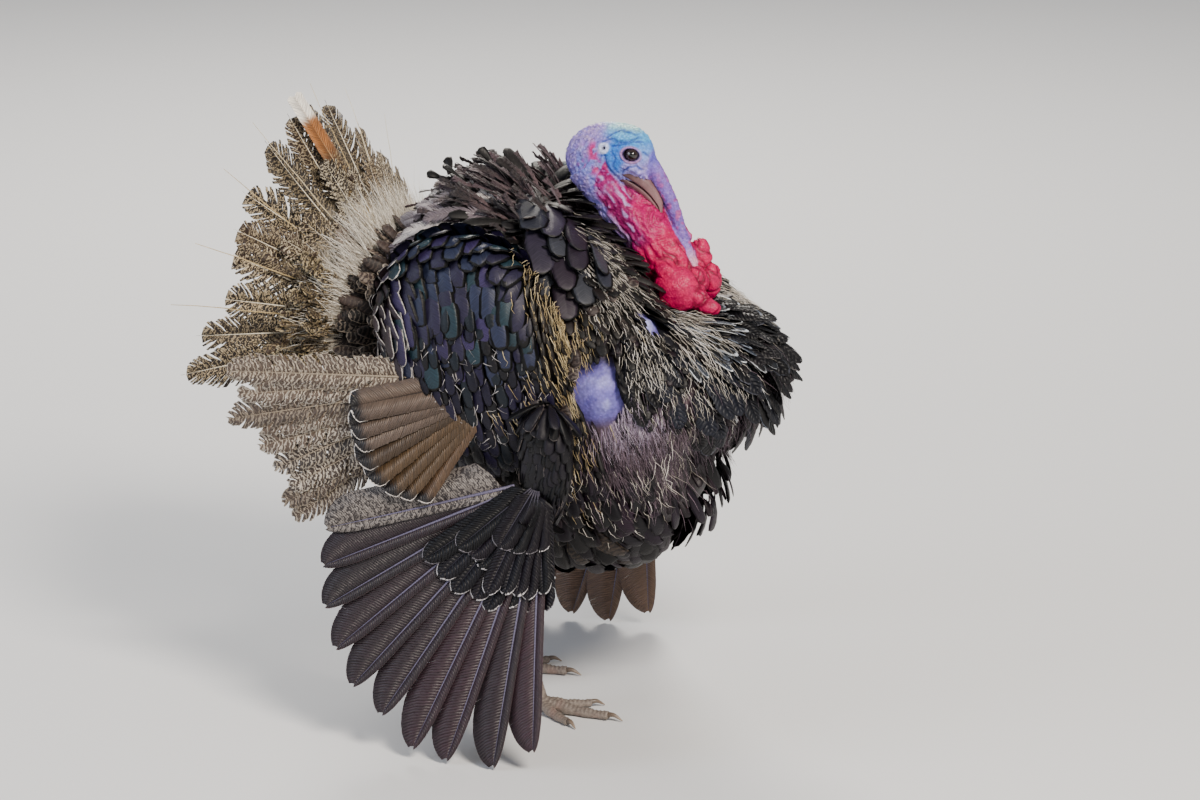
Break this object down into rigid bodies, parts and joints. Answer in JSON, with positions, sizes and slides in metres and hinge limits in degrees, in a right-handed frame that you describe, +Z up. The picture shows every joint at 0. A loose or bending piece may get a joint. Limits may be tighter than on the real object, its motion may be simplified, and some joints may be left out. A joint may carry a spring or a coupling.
{
  "type": "strutting tom turkey",
  "caption": "Life-size wild turkey tom in full strut: puffed body, bare head drawn back over the breast, wings dropped to the floor and tail raised as a fan.",
  "frame": {"origin": "floor point under the middle of the bounding box", "axes": "+X the way the bird faces, +Y to the bird's left, +Z up"},
  "size_m": [0.6034, 0.525, 0.6379],
  "materials": {
    "bare_skin": "bare, folded, slightly moist skin, from sky blue round the eye to lilac at the back of the head",
    "wattle_skin": "smooth swollen caruncles, crimson, with fine folds",
    "horn": "dull polished horn, brown with a paler tip",
    "eye": "wet, glossy dark brown",
    "body_feathers": "dark brown body feathers with fine pale edges",
    "dark_coverts": "glossy blue-black covert feathers",
    "bronze_coverts": "satin bronze-brown coverts with dark and pale edges",
    "flight_feathers": "stiff dark flight feathers with pale shafts and bars",
    "tail_feathers": "worn tail feathers, mottled brown and cream",
    "leg_scales": "dull grey-pink horny scutes"
  },
  "bodies": {
    "root": {"belly": "body_feathers", "breast": "body_feathers", "back": "body_feathers", "rump": "body_feathers", "head": "bare_skin", "bill_upper": "horn", "bill_lower": "horn", "neck": "wattle_skin", "snood": "bare_skin", "wattle": "wattle_skin", "eye_right": "eye", "eye_left": "eye", "wing_shield_right": "dark_coverts", "wing_hand_right": "dark_coverts", "wing_primaries_1_right": "flight_feathers", "wing_primaries_2_right": "flight_feathers", "wing_primaries_3_right": "flight_feathers", "wing_primaries_4_right": "flight_feathers", "wing_primaries_5_right": "flight_feathers", "wing_primary_coverts_right": "dark_coverts", "wing_greater_coverts_right": "bronze_coverts", "wing_secondaries_right": "flight_feathers", "wing_shield_left": "dark_coverts", "wing_hand_left": "dark_coverts", "wing_primaries_1_left": "flight_feathers", "wing_primaries_2_left": "flight_feathers", "wing_primaries_3_left": "flight_feathers", "wing_primaries_4_left": "flight_feathers", "wing_primaries_5_left": "flight_feathers", "wing_primary_coverts_left": "dark_coverts", "wing_greater_coverts_left": "bronze_coverts", "wing_secondaries_left": "flight_feathers", "tail_1": "tail_feathers", "tail_2": "tail_feathers", "tail_3": "tail_feathers", "tail_4": "tail_feathers", "tail_5": "tail_feathers", "tail_6": "tail_feathers", "thigh_right": "body_feathers", "shank_right": "leg_scales", "spur_right": "horn", "toe_middle_right": "leg_scales", "claw_middle_right": "horn", "toe_inner_right": "leg_scales", "claw_inner_right": "horn", "toe_outer_right": "leg_scales", "claw_outer_right": "horn", "toe_hind_right": "leg_scales", "claw_hind_right": "horn", "thigh_left": "body_feathers", "shank_left": "leg_scales", "spur_left": "horn", "toe_middle_left": "leg_scales", "claw_middle_left": "horn", "toe_inner_left": "leg_scales", "claw_inner_left": "horn", "toe_outer_left": "leg_scales", "claw_outer_left": "horn", "toe_hind_left": "leg_scales", "claw_hind_left": "horn"}
  },
  "joints": []
}
